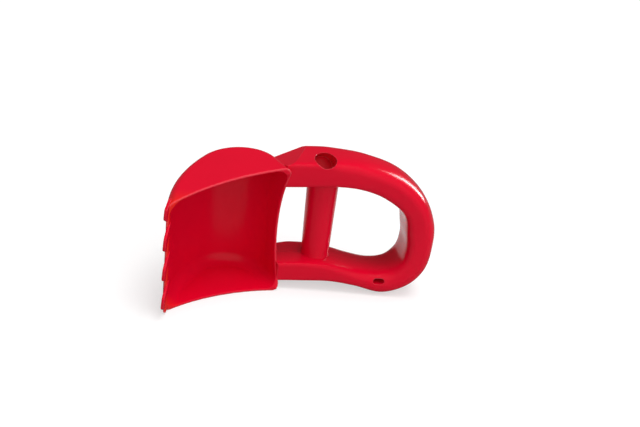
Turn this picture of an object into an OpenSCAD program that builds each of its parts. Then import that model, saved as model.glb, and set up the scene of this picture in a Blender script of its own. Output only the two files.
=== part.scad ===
// Hand-held sand digger: a toothed scoop on a hollow loop handle with an upright grip.
// +X runs along the handle away from the teeth, -Y is the side the scoop opens to, +Z is up.
// It stands on the floor of the scoop and on the lowest bend of the loop.

/* [Scoop] */
// Inside turn of the mouth away from the handle's length
mouth_turn = 25.5; // [15:1:35]
// How much higher the scoop stands than the handle, at the side next to it
rim_rise = 6.5; // [4:0.5:9]
// Fall of the scoop's top from there to the teeth
lip_fall = 19.5; // [14:0.5:24]
// Radius of the long back wall
back_r = 130; // [120:1:145]
// Angle between the mouth and the back wall at the teeth
lip_angle = 64; // [60:1:68]
// Angle between the mouth and the back wall where the round heel starts
heel_angle = 24; // [20:1:28]
// Radius of the round heel
heel_r = 39.5; // [35:0.5:44]
// Wall of the scoop
scoop_wall = 2.5; // [2:0.25:4]
// Outside rounding where the back wall meets the side plates
scoop_round = 7.5; // [5:0.5:9]
// Inside rounding where the back wall meets the side plates
scoop_cove = 7.5; // [6:0.5:12]
// How far the edges of the side plates are hollowed back
plate_hollow = 9.5; // [7:0.5:12]
// How far the edge of the heel wall is hollowed back
heel_hollow = 15; // [10:1:18]

/* [Teeth] */
// Number of teeth
tooth_count = 4; // [3:1:4]
// Width of a tooth at its root
tooth_root = 26; // [20:0.5:26.5]
// Width of a tooth at its tip
tooth_tip = 11; // [8:0.5:14]
// Length of a tooth
tooth_len = 12.5; // [9:0.5:15]
// Angle between the mouth and the teeth
tooth_angle = 55; // [50:1:60]

/* [Handle] */
// Lean of the grip towards the teeth
rake = 4; // [2:0.25:6]
// Drop of the loop's lowest bend below the lower beam
bend_drop = 15; // [12:0.5:17]
// Depth of the two beams between scoop and grip
beam_depth = 45; // [40:1:50]
// Depth of the loop at its far end
loop_depth = 46; // [40:1:52]
// Height of the upper beam
upper_beam_h = 23; // [20:0.5:26]
// Height of the lower beam
lower_beam_h = 19.5; // [17:0.5:22]
// Height of the handle at the grip
handle_h = 121; // [115:1:127]
// Reach of the loop behind the grip
loop_reach = 112.5; // [106:1:122]
// Thickness of the loop at its far end
loop_thick = 27; // [22:0.5:30]
// Wall of the hollow handle halves
handle_wall = 2.5; // [2:0.25:3.5]

/* [Grip] */
// Grip diameter at the top
grip_top_d = 29.5; // [28:0.5:33]
// Grip diameter at the foot
grip_foot_d = 26.5; // [25:0.5:30]
// Core of the grip, which keeps its wall even
core_d = 17; // [12:0.5:18]
// Depth of that core from the top of the grip
core_depth = 84; // [60:1:88]

/* [Thumb hole] */
// Diameter of the thumb hole in the upper beam
thumb_d = 19.5; // [17:0.5:21]
// Lean of the thumb hole towards the open side of the scoop
thumb_tilt = 50; // [46:1:54]
// Depth of the thumb hole from the beam's edge, along its middle
thumb_deep = 17; // [13:0.5:17.5]

/* [Fits] */
// Clearance between a spigot, pin or tube and its socket
fit_gap = 0.3; // [0.2:0.05:0.5]
// Diameter of the pins that line up the two handle halves
pin_d = 5; // [4:0.25:6]
// Height of the drain slot
drain_h = 5.5; // [4:0.5:7]
// Length of the drain slot
drain_l = 11; // [8:0.5:14]

/* [Hidden] */
toy_red = [0.80, 0.05, 0.10];

scoop_h_rim = handle_h + rim_rise;
scoop_h_lip = scoop_h_rim - lip_fall;

// ---- scoop outline, in the mouth's own frame: u along the mouth, v into the scoop ----
arc_steps = 14;
back_u = back_r * (sin(lip_angle) - sin(heel_angle));
back_v = back_r * (cos(heel_angle) - cos(lip_angle));
scoop_width = back_u + heel_r * (sin(heel_angle) + 1);
function back_point(a) = [back_r * (sin(lip_angle) - sin(a)), back_r * (cos(a) - cos(lip_angle))];
function heel_point(a) = [
    back_u + heel_r * (sin(heel_angle) - sin(a)),
    back_v + heel_r * (cos(a) - cos(heel_angle))
];
function lerp(a, b, t) = a + (b - a) * t;
outline = concat(
    [for (i = [0:arc_steps]) back_point(lerp(lip_angle, heel_angle, i / arc_steps))],
    [for (i = [1:arc_steps]) heel_point(lerp(heel_angle, -90, i / arc_steps))],
    [[scoop_width, 0]]
);
lip_x = -141;
lip_y = -77.5;
top_slope = atan((scoop_h_rim - scoop_h_lip) / scoop_width);

// ---- handle, in the grip's own frame: x away from the scoop, z up along the grip ----
beam_in = -70;
upper_floor = handle_h - upper_beam_h;
loop_floor = -bend_drop;
loop_inside = loop_reach - loop_thick;
beam_half = beam_depth / 2;
loop_half = loop_depth / 2;
// Each station: outer x and z, inner x and z, half depth, how square the outer and inner sides are
stations = [
    [beam_in, handle_h - 2, beam_in, upper_floor - 2, beam_half, 11, 8],
    [-45, handle_h - 0.5, -45, upper_floor - 2, beam_half, 11, 8],
    [-18, handle_h + 0.5, -18, upper_floor - 1, beam_half, 9, 8],
    [8, handle_h + 2, 8, upper_floor, beam_half, 5, 7],
    [38, handle_h - 1, 32, upper_floor - 2.5, beam_half, 3.2, 5],
    [69.5, handle_h - 11.5, 55, upper_floor - 10.5, loop_half, 2.7, 3.8],
    [96.5, handle_h - 31.5, 76, upper_floor - 26.5, loop_half, 2.5, 3.2],
    [loop_reach - 1.5, handle_h / 2, loop_inside - 3.5, upper_floor / 2 + 1, loop_half, 2.5, 3],
    [loop_reach - 0.5, lower_beam_h + 18.5, loop_inside - 1.5, lower_beam_h + 16.5, loop_half, 2.5, 3],
    [loop_reach - 3, lower_beam_h - 8.5, 81, lower_beam_h + 2.5, loop_half, 2.5, 3],
    [93.5, loop_floor + 7, 70, lower_beam_h - 7, loop_half, 2.6, 3.4],
    [68, loop_floor, 54, lower_beam_h - 9, loop_half, 3, 4],
    [38, loop_floor + 8, 34, lower_beam_h - 5.5, beam_half, 3.6, 5],
    [12, -1.5, 10, lower_beam_h, beam_half, 5, 7],
    [-16, 0, -16, lower_beam_h + 1, beam_half, 9, 8],
    [-45, 0, -45, lower_beam_h + 0.5, beam_half, 11, 8],
    [beam_in, 0, beam_in, lower_beam_h, beam_half, 11, 8]
];
ring_sides = 24;
steps_between = 3;

function spline(p, t) = 0.5 * (2 * p[1] + (p[2] - p[0]) * t
    + (2 * p[0] - 5 * p[1] + 4 * p[2] - p[3]) * t * t
    + (3 * p[1] - p[0] - 3 * p[2] + p[3]) * t * t * t);
function station(i) = stations[max(0, min(len(stations) - 1, i))];
function between(i, t) = spline([station(i - 1), station(i), station(i + 1), station(i + 2)], t);
function sgn_pow(v, e) = sign(v) * pow(abs(v), e);
function ring(s, inset) =
    let (mid = [(s[0] + s[2]) / 2, (s[1] + s[3]) / 2], across = [s[0] - s[2], s[1] - s[3]] / 2)
    let (half = norm(across), dir = across / half, a = half - inset, b = s[4] - inset)
    [for (k = [0:ring_sides - 1])
        let (q = 360 * (k + 0.5) / ring_sides, e = 2 / (cos(q) > 0 ? s[5] : s[6]))
        let (r = a * sgn_pow(cos(q), e), y = b * sgn_pow(sin(q), e))
        [mid[0] + dir[0] * r, y, mid[1] + dir[1] * r]];
ring_total = (len(stations) - 1) * steps_between;
function ring_at(j) = between(floor(j / steps_between), (j % steps_between) / steps_between);
handle_lift = -min([for (j = [0:ring_total])
    let (s = ring_at(j))
    s[1] * cos(rake) + s[0] * sin(rake)]);

// A closed tube along the handle, set in from its outside by inset
module handle_sweep(inset) {
    n = ring_sides;
    points = [for (j = [0:ring_total]) each ring(ring_at(j), inset)];
    sides = [for (j = [0:ring_total - 1], k = [0:n - 1])
        let (a = j * n + k, b = j * n + (k + 1) % n)
        [a, b, b + n, a + n]];
    start = [for (k = [n - 1:-1:0]) k];
    end = [for (k = [0:n - 1]) ring_total * n + k];
    polyhedron(points, concat([start, end], sides), convexity = 6);
}

// The lowest tooth starts above the floor, and the top plate cuts off part of the highest
tooth_foot = 3.5;
tooth_over = 9;
tooth_pitch = (scoop_h_lip - tooth_foot + tooth_over) / tooth_count;
function tooth_z(i) = tooth_foot + (i + 0.5) * tooth_pitch;

// Places in the mouth's frame, carried to the frame of the whole toy
function from_mouth(p) = [
    lip_x + p[0] * cos(mouth_turn) - p[1] * sin(mouth_turn),
    lip_y + p[0] * sin(mouth_turn) + p[1] * cos(mouth_turn)
];
function tip_corner(side) = from_mouth([
    -tooth_len * cos(tooth_angle) + side * scoop_wall * sin(tooth_angle),
    -tooth_len * sin(tooth_angle) - side * scoop_wall * cos(tooth_angle)
]);
top_tooth_lean = tooth_z(tooth_count - 1) * tan(rake);
reach_min = min(tip_corner(0)[0], tip_corner(1)[0]) - top_tooth_lean;
front_min = min(tip_corner(0)[1], tip_corner(1)[1]);
ring_points = [for (j = [0:ring_total]) each ring(ring_at(j), 0)];
reach_max = max([for (p = ring_points) p[0] * cos(rake) - p[2] * sin(rake)]);
back_max = max([for (p = ring_points) p[1]]);
// The toy's origin is under the middle of its outside size
module placed() translate([-(reach_min + reach_max) / 2, -(front_min + back_max) / 2, 0]) children();

module in_handle_frame() translate([0, 0, handle_lift]) rotate([0, -rake, 0]) children();
module in_mouth_frame() translate([lip_x, lip_y, 0]) rotate([0, 0, mouth_turn]) children();

// ---- scoop ----
reach_out = 30;
slice = 0.01;
round_steps = 4;
// Outline run on past the mouth, so that the mouth can be cut from it
long_outline = concat(
    [[-reach_out * cos(lip_angle), -reach_out * sin(lip_angle)]],
    outline,
    [[scoop_width, -reach_out]]
);
module outline_slice(inset) linear_extrude(slice) offset(delta = -inset) polygon(long_outline);
// The scoop leans with the grip, so its top lies nearer the teeth than its floor
top_shift = scoop_h_rim * tan(rake);
module lean(z) translate([-cos(mouth_turn), sin(mouth_turn), 0] * top_shift * z / scoop_h_rim) children();
module lifted_top() lean(scoop_h_rim) translate([scoop_width, 0, scoop_h_rim]) rotate([0, -top_slope, 0])
    translate([-scoop_width, 0, 0]) children();

// Solid body of the scoop, set in by inset, with edges of radius edge_r
module scoop_body(inset, edge_r) {
    hull() {
        for (i = [0:round_steps]) {
            a = 90 * i / round_steps;
            rise = inset + edge_r * (1 - sin(a));
            step_in = inset + edge_r * (1 - cos(a));
            translate([0, 0, rise]) outline_slice(step_in);
            lifted_top() translate([0, 0, -rise - slice]) outline_slice(step_in);
        }
    }
}
function sagitta_radius(chord, depth) = (chord * chord / 4 + depth * depth) / (2 * depth);
plate_cut_r = sagitta_radius(scoop_width, plate_hollow);
heel_cut_r = sagitta_radius(scoop_h_rim, heel_hollow);
module mouth_cut() {
    translate([-2 * reach_out, -2 * reach_out, -1])
        cube([scoop_width + 4 * reach_out, 2 * reach_out, scoop_h_rim + 2]);
    translate([scoop_width / 2, plate_hollow - plate_cut_r, -1])
        cylinder(h = scoop_h_rim + 2, r = plate_cut_r, $fn = 180);
    translate([scoop_width * 0.6, heel_hollow - heel_cut_r, scoop_h_rim / 2]) rotate([0, 90, 0])
        cylinder(h = scoop_width, r = heel_cut_r, $fn = 180);
}
// The teeth grow out of a strip that runs up the lip
lip_root = 6;
lip_strip = 2;
tooth_soft = 2;
module tooth_shape() offset(r = tooth_soft, $fn = 24) offset(delta = -tooth_soft) polygon([
    [-tooth_root / 2, lip_root],
    [tooth_root / 2, lip_root],
    [tooth_root / 2, 0],
    [tooth_tip / 2, -tooth_len],
    [-tooth_tip / 2, -tooth_len],
    [-tooth_root / 2, 0]
]);
// A flat plate on the lip, drawn with its length towards -y and its width along the scoop's height
tooth_set = 1;
module on_lip() rotate([0, 0, tooth_angle - 90]) translate([tooth_set, 0, 0]) rotate([0, 90, 0])
    linear_extrude(scoop_wall) children();
module teeth() {
    difference() {
        for (i = [0:tooth_count - 1])
            lean(tooth_z(i)) translate([0, 0, tooth_z(i)]) on_lip() tooth_shape();
        lifted_top() translate([-reach_out, -reach_out, 0]) cube([2 * reach_out, 2 * reach_out, reach_out]);
    }
    hull() for (z = [scoop_round, scoop_h_lip - scoop_round])
        lean(z) translate([0, 0, z]) on_lip() translate([-0.5, -lip_strip]) square([1, lip_strip + lip_root]);
}

// ---- parts of the handle shared by both halves ----
ramp_x = -23;
ramp_turn = 21;
ramp_angle = 20;
module ramp_cut(drop) translate([ramp_x, 0, handle_h - drop]) rotate([0, 0, -ramp_turn])
    rotate([0, -ramp_angle, 0]) translate([-80, -60, 0]) cube([80, 120, 40]);
// Behind the scoop the beams are cut slantwise, so that they run into its round heel
taper_x = -18;
taper_angle = 20;
module taper_cut(inset) translate([taper_x, beam_depth / 2 - inset, -50]) rotate([0, 0, taper_angle])
    translate([-100, 0, 0]) cube([100, 60, handle_h + 100]);
module handle_solid(inset) difference() {
    handle_sweep(inset);
    ramp_cut(inset);
    taper_cut(inset);
}
spigot_end = -24;
module spigots() in_handle_frame() intersection() {
    handle_solid(handle_wall + fit_gap);
    translate([beam_in, -beam_depth, -20]) cube([spigot_end - beam_in, 2 * beam_depth, handle_h + 40]);
}

// ---- grip ----
grip_foot_z = handle_wall + 0.5;
neck_in = 3;
neck_z = upper_floor + handle_wall + 0.5;
flare_h = 4;
flare_w = 2;
collar_h = 3;
collar_w = 2.5;
// Outside of the grip, half of its section, grown by extra
module grip_outline(extra) {
    foot_r = grip_foot_d / 2 + extra;
    top_r = grip_top_d / 2 + extra;
    seat = lower_beam_h + 1;
    polygon([
        [0, grip_foot_z - extra],
        [foot_r + collar_w, grip_foot_z - extra],
        [foot_r + collar_w, grip_foot_z + collar_h + extra],
        [foot_r, grip_foot_z + collar_h + extra],
        [foot_r, seat],
        [foot_r + flare_w, seat],
        [foot_r + flare_w * 0.35, seat + flare_h * 0.4],
        [foot_r, seat + flare_h],
        [top_r, upper_floor],
        [top_r - neck_in, upper_floor + 1],
        [top_r - neck_in, neck_z + extra],
        [0, neck_z + extra]
    ]);
}
module grip_core() translate([0, 0, neck_z - core_depth])
    cylinder(h = core_depth + 1, d = core_d, $fn = 96);

// ---- thumb hole: a round blind hole through the front edge of the upper beam ----
thumb_x = -2.2;
thumb_in = 13.7;
thumb_drop = 2;
module thumb_hole(extra) translate([thumb_x, thumb_in - beam_half, handle_h - thumb_drop])
    rotate([thumb_tilt, 0, 0]) translate([0, 0, -thumb_deep - extra])
        cylinder(h = thumb_deep + 60, d = thumb_d + 2 * extra, $fn = 72);

// ---- the two halves ----
pin_rings = [4.5, 6, 8, 10, 12];
pin_reach = 8;
function pin_ring(i) = between(floor(i), i - floor(i));
// A post across the handle's hollow at ring s, from y = from to the wall on one side
module across(s, d, from, to) translate([(s[0] + s[2]) / 2, 0, (s[1] + s[3]) / 2]) rotate([-90, 0, 0])
    translate([0, 0, from]) cylinder(h = to - from, d = d, $fn = 32);
module handle_shell() difference() {
    union() {
        difference() {
            handle_solid(0);
            handle_solid(handle_wall);
        }
        intersection() {
            handle_solid(0);
            thumb_hole(handle_wall);
        }
    }
    rotate_extrude($fn = 72) grip_outline(fit_gap);
    thumb_hole(0);
}
module above_scoop() intersection() {
    translate([0, 0, scoop_h_lip / 2]) linear_extrude(scoop_h_rim) offset(delta = fit_gap)
        polygon([for (p = long_outline) p + [-cos(mouth_turn), sin(mouth_turn)] * top_shift]);
    lifted_top() translate([-100, -100, -scoop_round]) cube([400, 300, 100]);
}
module scoop_clearance() in_mouth_frame() {
    scoop_body(-fit_gap, scoop_round);
    above_scoop();
}
drain_x = 61;
drain_z = 2;
module drain_slot() translate([drain_x, -loop_depth, drain_z]) rotate([-90, 0, 0]) hull() {
    for (side = [-1, 1]) translate([side * (drain_l - drain_h) / 2, 0, 0])
        cylinder(h = loop_depth / 2 + 12, d = drain_h, $fn = 32);
}
module pins() for (i = pin_rings) let (s = pin_ring(i))
    across(s, pin_d, handle_wall / 2 - s[4], pin_reach);
module sockets() for (i = pin_rings) let (s = pin_ring(i)) difference() {
    across(s, pin_d + 2 * handle_wall, 0, s[4] - handle_wall / 2);
    across(s, pin_d + 2 * fit_gap, -1, pin_reach + 1);
}
module front_side() translate([-200, -100, -60]) cube([400, 100, 300]);
module back_side() translate([-200, 0, -60]) cube([400, 100, 300]);

module handle_front() color(toy_red) placed() difference() {
    in_handle_frame() {
        pins();
        difference() {
            intersection() {
                handle_shell();
                front_side();
            }
            drain_slot();
        }
    }
    scoop_clearance();
}
module handle_back() color(toy_red * 0.9) placed() difference() {
    in_handle_frame() {
        sockets();
        intersection() {
            handle_shell();
            back_side();
        }
    }
    scoop_clearance();
}
module scoop() color(toy_red * 0.95) placed() {
    difference() {
        union() {
            in_mouth_frame() difference() {
                scoop_body(0, scoop_round);
                mouth_cut();
            }
            in_mouth_frame() teeth();
            difference() {
                spigots();
                in_mouth_frame() translate([0, 0, scoop_round]) above_scoop();
            }
        }
        in_mouth_frame() scoop_body(scoop_wall, scoop_cove);
    }
}
module grip() color(toy_red * 0.85) placed() in_handle_frame() difference() {
    rotate_extrude($fn = 96) grip_outline(0);
    grip_core();
}

scoop();
handle_front();
handle_back();
grip();
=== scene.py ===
import math

import bmesh
import bpy
import numpy as np
from bpy.props import (FloatProperty, FloatVectorProperty, IntProperty,
                       PointerProperty)
from mathutils import Matrix, Vector


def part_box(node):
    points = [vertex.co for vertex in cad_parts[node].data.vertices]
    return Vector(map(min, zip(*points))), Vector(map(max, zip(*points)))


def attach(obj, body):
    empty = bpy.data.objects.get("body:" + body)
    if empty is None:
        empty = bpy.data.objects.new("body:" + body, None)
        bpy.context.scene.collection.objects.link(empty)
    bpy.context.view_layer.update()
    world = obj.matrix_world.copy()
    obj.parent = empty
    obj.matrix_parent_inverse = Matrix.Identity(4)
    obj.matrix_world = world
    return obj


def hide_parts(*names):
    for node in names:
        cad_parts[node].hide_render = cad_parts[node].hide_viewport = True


bl_info = {
    "name": "Sand Digger",
    "version": (1, 0, 0),
    "blender": (4, 5, 0),
    "location": "3D View > Sidebar > Sand Digger",
    "description": "Dresses the hand-held sand digger: glossy moulded scoop, loop handle and grip",
    "category": "Object",
}

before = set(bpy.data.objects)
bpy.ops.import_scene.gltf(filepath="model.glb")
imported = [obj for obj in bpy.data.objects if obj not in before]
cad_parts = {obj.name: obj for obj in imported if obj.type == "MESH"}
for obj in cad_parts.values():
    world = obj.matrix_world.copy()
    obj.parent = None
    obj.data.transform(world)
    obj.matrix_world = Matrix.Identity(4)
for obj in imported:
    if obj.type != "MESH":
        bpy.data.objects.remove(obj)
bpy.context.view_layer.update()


# ---------------------------------------------------------------- properties

LENGTH = {"subtype": "DISTANCE", "unit": "LENGTH"}
ANGLE = {"subtype": "ANGLE", "unit": "ROTATION"}
COLOUR = {"subtype": "COLOR", "size": 3, "min": 0.0, "max": 1.0}


class DiggerSizes(bpy.types.PropertyGroup):
    """Sizes of the moulded pieces."""

    mouth_turn: FloatProperty(
        name="Mouth Turn", description="Inside turn of the mouth away from the handle's length",
        default=math.radians(25.5), **ANGLE)
    wall: FloatProperty(
        name="Scoop Wall", description="Wall of the scoop",
        min=0.001, max=0.006, precision=4, default=0.0025, **LENGTH)
    edge_round: FloatProperty(
        name="Outside Rounding", description="Rounding where the back wall meets the side plates",
        min=0.002, max=0.012, precision=4, default=0.0075, **LENGTH)
    cove_round: FloatProperty(
        name="Inside Rounding", description="The same rounding on the inside",
        min=0.002, max=0.016, precision=4, default=0.011, **LENGTH)
    rim_round: FloatProperty(
        name="Rim Rounding", description="Rounding of the scoop's open edges",
        min=0.0002, max=0.0012, precision=4, default=0.001, **LENGTH)
    tooth_count: IntProperty(
        name="Teeth", description="Number of teeth on the lip", min=1, max=6, default=4)
    tooth_length: FloatProperty(
        name="Tooth Length", description="How far a tooth stands out from its strip",
        min=0.005, max=0.02, precision=4, default=0.0125, **LENGTH)
    rake: FloatProperty(
        name="Rake", description="Lean of the grip towards the teeth",
        default=math.radians(4.0), **ANGLE)
    thumb_hole: FloatProperty(
        name="Thumb Hole", description="Diameter of the thumb hole",
        min=0.01, max=0.025, precision=4, default=0.0195, **LENGTH)
    thumb_tilt: FloatProperty(
        name="Thumb Tilt", description="Lean of the thumb hole towards the open side",
        default=math.radians(50.0), **ANGLE)
    ring_points: IntProperty(
        name="Ring Points", description="Points round each half ring of the handle",
        min=8, max=128, default=88)
    ring_steps: IntProperty(
        name="Ring Steps", description="Rings between two stations of the handle",
        min=2, max=32, default=18)


class DiggerColours(bpy.types.PropertyGroup):
    """Colours and finish of the moulded plastic."""

    body: FloatVectorProperty(
        name="Body Red", description="Colour of the moulded plastic",
        default=(0.76, 0.0012, 0.024), **COLOUR)
    # Painted light: the lip is painted a paler orange-red for light that comes through the plastic
    # there.
    lip_glow: FloatVectorProperty(
        name="Lip Glow Red", description="Colour of the lip, where light comes through the plastic",
        default=(0.92, 0.022, 0.006), **COLOUR)
    # Paler red for edges that show wear, and for a painted highlight along the edges.
    worn_and_highlight: FloatVectorProperty(
        name="Worn And Highlight Red", description="Colour of the rubbed edges",
        default=(0.90, 0.16, 0.19), **COLOUR)
    gloss: FloatProperty(
        name="Roughness", description="Roughness of the moulded surface",
        subtype="FACTOR", min=0.05, max=0.8, default=0.19)
    grain: FloatProperty(
        name="Grain Height", description="Height of the fine unevenness of the moulded skin",
        min=0.0, max=0.001, precision=5, default=0.00002, **LENGTH)
    edge: FloatProperty(
        name="Edge Softness", description="Radius to which the shading rounds crisp edges",
        min=0.0, max=0.002, precision=4, default=0.0009, **LENGTH)


class DiggerStage(bpy.types.PropertyGroup):
    """Camera, room light and floor."""

    azimuth: FloatProperty(
        name="View Azimuth", description="Turn of the camera's line of sight from +X",
        default=math.radians(77.04), **ANGLE)
    elevation: FloatProperty(
        name="View Elevation", description="How far the camera looks down",
        default=math.radians(26.17), **ANGLE)
    roll: FloatProperty(
        name="View Roll", description="Turn of the camera about its line of sight",
        default=math.radians(11.38), **ANGLE)
    distance: FloatProperty(
        name="View Distance", description="Distance from the camera to the point it looks at",
        min=0.1, max=10.0, default=0.7888, **LENGTH)
    aim: FloatVectorProperty(
        name="View Point", description="Point that the camera looks at",
        subtype="XYZ", unit="LENGTH", size=3, default=(0.01010, 0.00480, 0.08628))
    lens: FloatProperty(
        name="Lens", description="Focal length on a 36 mm sensor, in millimetres",
        min=10.0, max=200.0, default=49.5)
    floor_colour: FloatVectorProperty(
        name="Floor Colour", description="Colour of the floor",
        default=(0.48, 0.48, 0.48), **COLOUR)
    mirrored_floor: FloatVectorProperty(
        name="Mirrored Floor", description="Colour of the floor in the gloss of the plastic",
        default=(0.16, 0.16, 0.16), **COLOUR)
    floor_lift: FloatProperty(
        name="Floor Lift", description="How much paler the camera sees the floor",
        min=0.0, max=1.0, default=0.56)
    air: FloatProperty(
        name="Room Light", description="Strength of the light from all round",
        min=0.0, max=2.0, default=0.25)
    mirrored_air: FloatProperty(
        name="Mirrored Room", description="Strength of the room in the gloss of the plastic",
        min=0.0, max=2.0, default=0.08)


# ------------------------------------------------------------- small helpers

MM = 0.001


def linked(obj):
    """The object, put in the scene."""
    bpy.context.scene.collection.objects.link(obj)
    return obj


def new_mesh_object(name, verts, faces):
    """An object with a mesh of these points and faces."""
    mesh = bpy.data.meshes.new(name)
    mesh.from_pydata([tuple(v) for v in verts], [], [tuple(f) for f in faces])
    mesh.update()
    return linked(bpy.data.objects.new(name, mesh))


def crisp(mesh, degrees):
    """Smooth shading, with the edges sharper than this left crisp."""
    mesh.shade_smooth()
    mesh.set_sharp_from_angle(angle=math.radians(degrees))


def apply_modifiers(obj):
    """Makes the object's modifiers real and takes them off."""
    depsgraph = bpy.context.evaluated_depsgraph_get()
    mesh = bpy.data.meshes.new_from_object(obj.evaluated_get(depsgraph))
    obj.modifiers.clear()
    obj.data = mesh


def signed_volume(mesh):
    """Volume of a closed mesh, below nought where its faces point inwards."""
    solid = bmesh.new()
    solid.from_mesh(mesh)
    volume = solid.calc_volume(signed=True)
    solid.free()
    return volume


def finish_piece(obj, name, node):
    """Names the piece, checks that it is solid, and hangs it on the frame."""
    if signed_volume(obj.data) <= 0:
        raise RuntimeError(name + " is inside out or open")
    obj.name = name
    obj.data.name = name
    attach(obj, "root")
    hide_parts(node)


# ------------------------------------------------- the toy's own measurements
# Millimetres, in the frame of the grip: x away from the scoop, z up along the grip.

HANDLE_H = 121.0
UPPER_FLOOR = HANDLE_H - 23.0
LOWER_TOP = 19.5
LOOP_FLOOR = -15.0
LOOP_REACH = 112.5
LOOP_INSIDE = LOOP_REACH - 27.0
BEAM_HALF = 22.5
LOOP_HALF = 23.0
BEAM_START = -70.0
SKIN = 0.992  # the sweep stays this share inside its stations

# Degrees from which an edge is left crisp
TEETH_CREASE, HANDLE_CREASE, GRIP_CREASE = 35, 14, 35

# Outer x and z, inner x and z, half depth, how square the outer and inner sides are
STATIONS = (
    (BEAM_START, HANDLE_H - 2, BEAM_START, UPPER_FLOOR - 2, BEAM_HALF, 11, 8),
    (-45, HANDLE_H - 0.5, -45, UPPER_FLOOR - 2, BEAM_HALF, 11, 8),
    (-18, HANDLE_H + 0.5, -18, UPPER_FLOOR - 1, BEAM_HALF, 9, 8),
    (8, HANDLE_H + 2, 8, UPPER_FLOOR, BEAM_HALF, 4.2, 7),
    (38, HANDLE_H - 1, 32, UPPER_FLOOR - 2.5, BEAM_HALF, 2.9, 5.5),
    (70.8, HANDLE_H - 12, 55, UPPER_FLOOR - 10.5, LOOP_HALF, 2.5, 5),
    (95.7, HANDLE_H - 32.8, 76, UPPER_FLOOR - 26.5, LOOP_HALF, 2.4, 5),
    (LOOP_REACH - 2.8, HANDLE_H / 2 + 1.3, LOOP_INSIDE - 3.5, UPPER_FLOOR / 2 + 1,
     LOOP_HALF, 2.4, 5),
    (LOOP_REACH - 0.1, LOWER_TOP + 17.2, LOOP_INSIDE - 1.5, LOWER_TOP + 16.5,
     LOOP_HALF, 2.4, 5),
    (LOOP_REACH - 4, LOWER_TOP - 8, 81, LOWER_TOP + 2.5, LOOP_HALF, 2.4, 4.2),
    (93.6, LOOP_FLOOR + 8.3, 70, LOWER_TOP - 7, LOOP_HALF, 2.5, 3.0),
    (68, LOOP_FLOOR, 54, LOWER_TOP - 9, LOOP_HALF, 2.8, 2.7),
    (38, LOOP_FLOOR + 8, 34, LOWER_TOP - 5.5, BEAM_HALF, 3.4, 2.7),
    (12, -1.5, 10, LOWER_TOP, BEAM_HALF, 5, 4),
    (-16, 0, -16, LOWER_TOP + 1, BEAM_HALF, 9, 8),
    (-45, 0, -45, LOWER_TOP + 0.5, BEAM_HALF, 11, 8),
    (BEAM_START, 0, BEAM_START, LOWER_TOP, BEAM_HALF, 11, 8),
)

# Solids that cut the handle: a block for the ramp that runs up from the scoop, a block for
# the back half's slanted end, a rod for the thumb hole and a long hole for the drain slot
RAMP_SIZE, RAMP_PLACE = (160, 240, 80), (-23, 0, HANDLE_H)
RAMP_TURN = (0, math.radians(-20), math.radians(-21))
WEDGE_SIZE, WEDGE_PLACE, WEDGE_RISE = (100, 60, 400), (-18, BEAM_HALF, 0), 50
WEDGE_TURN = (0, 0, math.radians(20))
HOLE_PLACE, HOLE_DEPTH, HOLE_ROD = (-2.2, 13.7 - BEAM_HALF, HANDLE_H - 2), 17.0, 80.0
SLOT_PLACE, SLOT_R, SLOT_ROD = (61, -LOOP_HALF, 2), 2.75, 30.0
HOLE_AROUND, SLOT_AROUND = 128, 48

# The grip: where it starts inside the lower beam, and its radius at the foot and at the top
GRIP_START, GRIP_SEAT = 10.0, LOWER_TOP + 1
GRIP_FOOT_R, GRIP_TOP_R, GRIP_FLARE = 26.5 / 2, 29.5 / 2, 0.5
GRIP_AROUND, FLARE_STEPS, TAPER_STEPS = 128, 8, 12

# The scoop in the frame of its mouth: u along the mouth from the lip, v into the scoop, z up
RIM_H = HANDLE_H + 6.5
LIP_FALL = 19.5
LIP_X, LIP_Y = -141.0, -77.5
BACK_R, LIP_ANGLE = 130.0, math.radians(64.0)
HEEL_R, HEEL_ANGLE = 39.5, math.radians(24.0)
BACK_U = BACK_R * (math.sin(LIP_ANGLE) - math.sin(HEEL_ANGLE))
BACK_V = BACK_R * (math.cos(HEEL_ANGLE) - math.cos(LIP_ANGLE))
WIDTH = BACK_U + HEEL_R * (math.sin(HEEL_ANGLE) + 1)
LIP_H = RIM_H - LIP_FALL
TOP_SLOPE = math.atan(LIP_FALL / WIDTH)
PLATE_HOLLOW, HEEL_HOLLOW = 9.5, 15.0
HEEL_FROM = 0.6 * WIDTH  # from here on, the heel's hollow shapes the mouth

# The teeth and the strip that carries them, up the lip
TOOTH_ANGLE = math.radians(55.0)
TOOTH_ROOT, TOOTH_TIP = 26.0, 11.0
TOOTH_SET, LIP_ROOT, LIP_STRIP = 1.0, 6.0, 2.0
TOOTH_FOOT, TOOTH_OVER = 3.5, 9.0
TOOTH_SLACK, TOOTH_ROUND = 0.08, 0.55
TOOTH_CORNERS = (0.6, 0.6, 2.0, 3.0, 3.0, 2.0)  # from its root, round by its tip
CORNER_STEPS = 6
CAP_SIZE, CAP_SINK = (400, 400, 100), 0.6
STRIP_LOW, STRIP_HIGH = 1.8, LIP_H - 6.8
STRIP_MIDDLE, STRIP_HALF = (STRIP_LOW + STRIP_HIGH) / 2, (STRIP_HIGH - STRIP_LOW) / 2
STRIP_ROUND = 1.0

# Where the open edge shows wear and a painted highlight, and how far in from the lip the painted
# glow of light through the plastic reaches
RUB_AND_HIGHLIGHT_SHARE, RUB_AND_HIGHLIGHT_DEPTH, RUB_AND_HIGHLIGHT_OUTSIDE = 0.75, 1.1, 1.6
LIP_GLOW_SHARE, LIP_GLOW_REACH, LIP_GLOW_FADE = 0.7, 22.0, 1.3

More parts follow.
